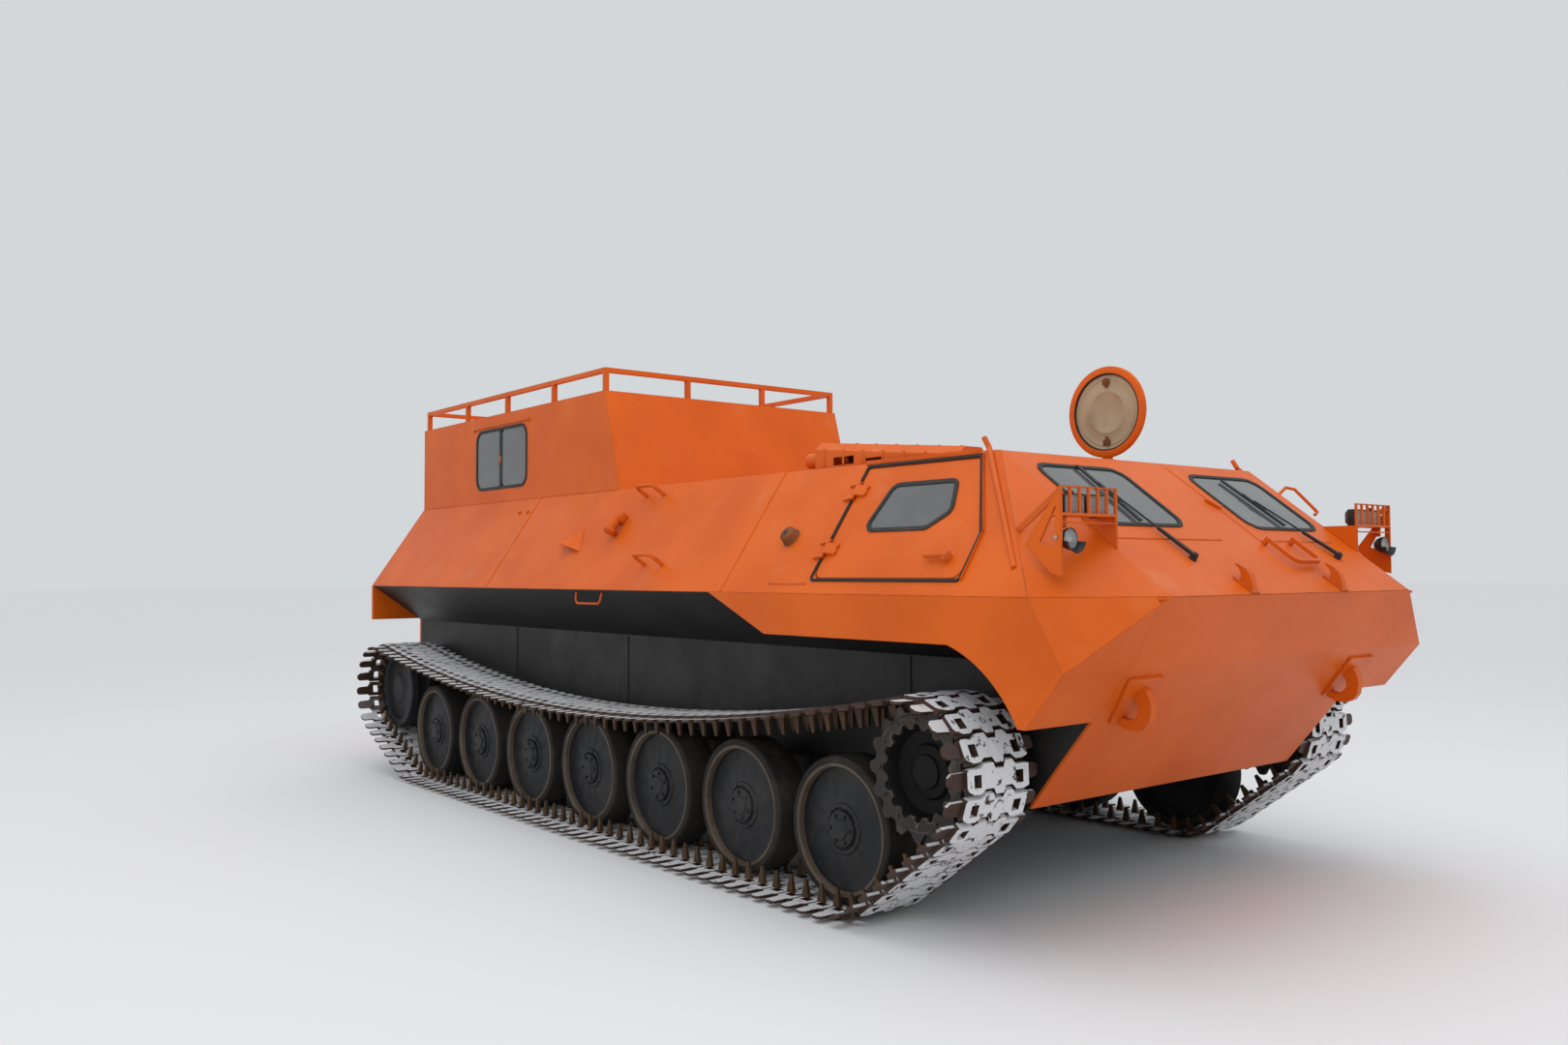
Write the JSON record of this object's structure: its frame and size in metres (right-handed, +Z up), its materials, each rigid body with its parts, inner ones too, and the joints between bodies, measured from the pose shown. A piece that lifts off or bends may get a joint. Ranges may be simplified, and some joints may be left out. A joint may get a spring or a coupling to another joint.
{
  "type": "tracked all-terrain carrier",
  "caption": "Heavy tracked snow and swamp carrier with a sloped hull, wide steel tracks, cab doors, open roof hatch and a rear cabin with a roof rail.",
  "frame": {"origin": "centre of the bounding box in plan, on the ground under the tracks", "axes": "+X forward towards the nose edge, +Y to the vehicle's left, +Z up"},
  "size_m": [7.29, 3.194, 2.9],
  "materials": {
    "orange_paint": "orange paint, slightly worn and dusty",
    "hull_black": "matt black paint with dust",
    "black_rubber": "satin",
    "window_glass": "clear with road dust",
    "engine_iron": "matt",
    "inner_paint": "satin",
    "seat_leather": "grained",
    "dark_plastic": "matt",
    "lamp_metal": "worn bright metal",
    "track_steel": "worn brown steel",
    "wheel_rubber": "worn rubber over painted discs"
  },
  "bodies": {
    "hull": {"bow_plate": "orange_paint", "bulkheads": "inner_paint", "cab_controls": "dark_plastic", "cab_front": "orange_paint", "cab_roof": "orange_paint", "cab_seats": "seat_leather", "cab_sides": "orange_paint", "cabin_benches": "seat_leather", "cabin_shell": "orange_paint", "engine_block": "engine_iron", "exhaust_guard": "orange_paint", "exhaust_pipe": "orange_paint", "fenders": "orange_paint", "fittings": "orange_paint", "hand_bars": "orange_paint", "hinges": "orange_paint", "hull_tub": "hull_black", "idlers": "hull_black", "lamp_guards": "orange_paint", "lamps": "lamp_metal", "rear_shell": "orange_paint", "rear_wall": "orange_paint", "road_wheels": "wheel_rubber", "roof_rail": "orange_paint", "sprockets": "hull_black", "swing_arms": "hull_black", "towing": "orange_paint", "track_l": "track_steel", "track_r": "track_steel", "window_glass": "window_glass", "window_seals": "black_rubber", "wipers": "dark_plastic"},
    "door_right": {"door_r": "orange_paint", "door_seal_r": "black_rubber", "door_glass_r": "window_glass"},
    "door_left": {"door_l": "orange_paint", "door_seal_l": "black_rubber", "door_glass_l": "window_glass"},
    "rear_leaf_right": {"rear_door_r": "orange_paint", "rear_door_glass_r": "window_glass"},
    "rear_leaf_left": {"rear_door_l": "orange_paint", "rear_door_glass_l": "window_glass"},
    "hatch": {"hatch_lid": "orange_paint"},
    "engine_cover": {"engine_lid": "orange_paint"}
  },
  "joints": [
    {"name": "door_right_swing", "type": "hinge", "parent": "hull", "child": "door_right", "pos_m": [1.976, -1.20985, 1.79787], "axis": [0, -0.5704, -0.8214], "range_deg": [0, 100]},
    {"name": "door_left_swing", "type": "hinge", "parent": "hull", "child": "door_left", "pos_m": [1.976, 1.20985, 1.79787], "axis": [0, -0.5704, 0.8214], "range_deg": [0, 100]},
    {"name": "rear_leaf_right_swing", "type": "hinge", "parent": "hull", "child": "rear_leaf_right", "pos_m": [-3.597, -0.596, 1.675], "axis": [0, 0, 1], "range_deg": [0, 110]},
    {"name": "rear_leaf_left_swing", "type": "hinge", "parent": "hull", "child": "rear_leaf_left", "pos_m": [-3.597, 0.596, 1.675], "axis": [0, 0, -1], "range_deg": [0, 110]},
    {"name": "hatch_close", "type": "hinge", "parent": "hull", "child": "hatch", "pos_m": [2.321, 0.41, 2.134], "axis": [1, 0, 0], "range_deg": [0, 90]},
    {"name": "engine_cover_lift", "type": "hinge", "parent": "hull", "child": "engine_cover", "pos_m": [0.499, 0, 2.091], "axis": [0, -1, 0], "range_deg": [0, 70]}
  ]
}
